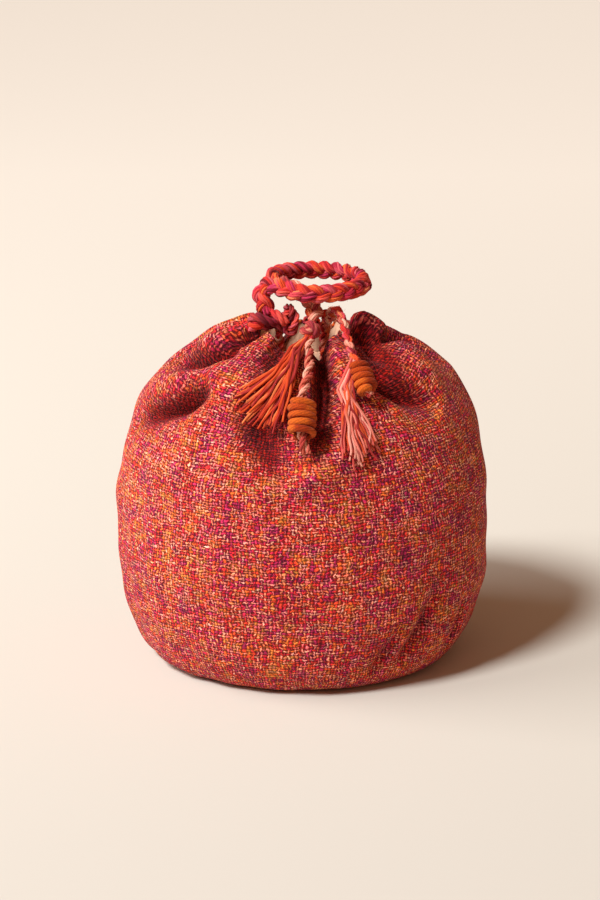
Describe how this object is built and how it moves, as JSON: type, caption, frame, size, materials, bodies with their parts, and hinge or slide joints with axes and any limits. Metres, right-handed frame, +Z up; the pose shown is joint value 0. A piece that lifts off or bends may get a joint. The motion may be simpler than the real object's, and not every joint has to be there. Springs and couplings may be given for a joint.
{
  "type": "potli bag",
  "caption": "Round drawstring pouch of coarse hand-woven cloth with a pale lining, deep gathers at the mouth, a braided carrying loop, and cord tails with yarn wraps and tassels.",
  "frame": {"origin": "centre of the flat base that the bag stands on", "axes": "+Z up through the mouth, -Y the front with the tassels, +X to the right of someone who looks at the front"},
  "size_m": [0.1996, 0.1756, 0.213],
  "materials": {
    "woven_cloth": "matte coarse plain weave of mixed red, orange, magenta and peach yarns",
    "lining_cotton": "matte plain cotton",
    "braid_yarn": "matte braided yarn of red, orange, magenta and burgundy",
    "mustard_yarn": "matte felted wool yarn",
    "orange_yarn": "matte loose yarn",
    "pink_yarn": "matte twisted yarn of pale pink and orange"
  },
  "bodies": {
    "root": {"outer_pouch": "woven_cloth", "lining": "lining_cotton", "casing": "lining_cotton", "drawstring": "braid_yarn", "loop_knot": "braid_yarn", "loop_cord": "braid_yarn", "centre_knot": "braid_yarn", "orange_tassel": "orange_yarn", "left_tail": "pink_yarn", "left_wrap": "mustard_yarn", "right_tail": "pink_yarn", "right_wrap": "mustard_yarn", "right_tassel": "pink_yarn"}
  },
  "joints": []
}
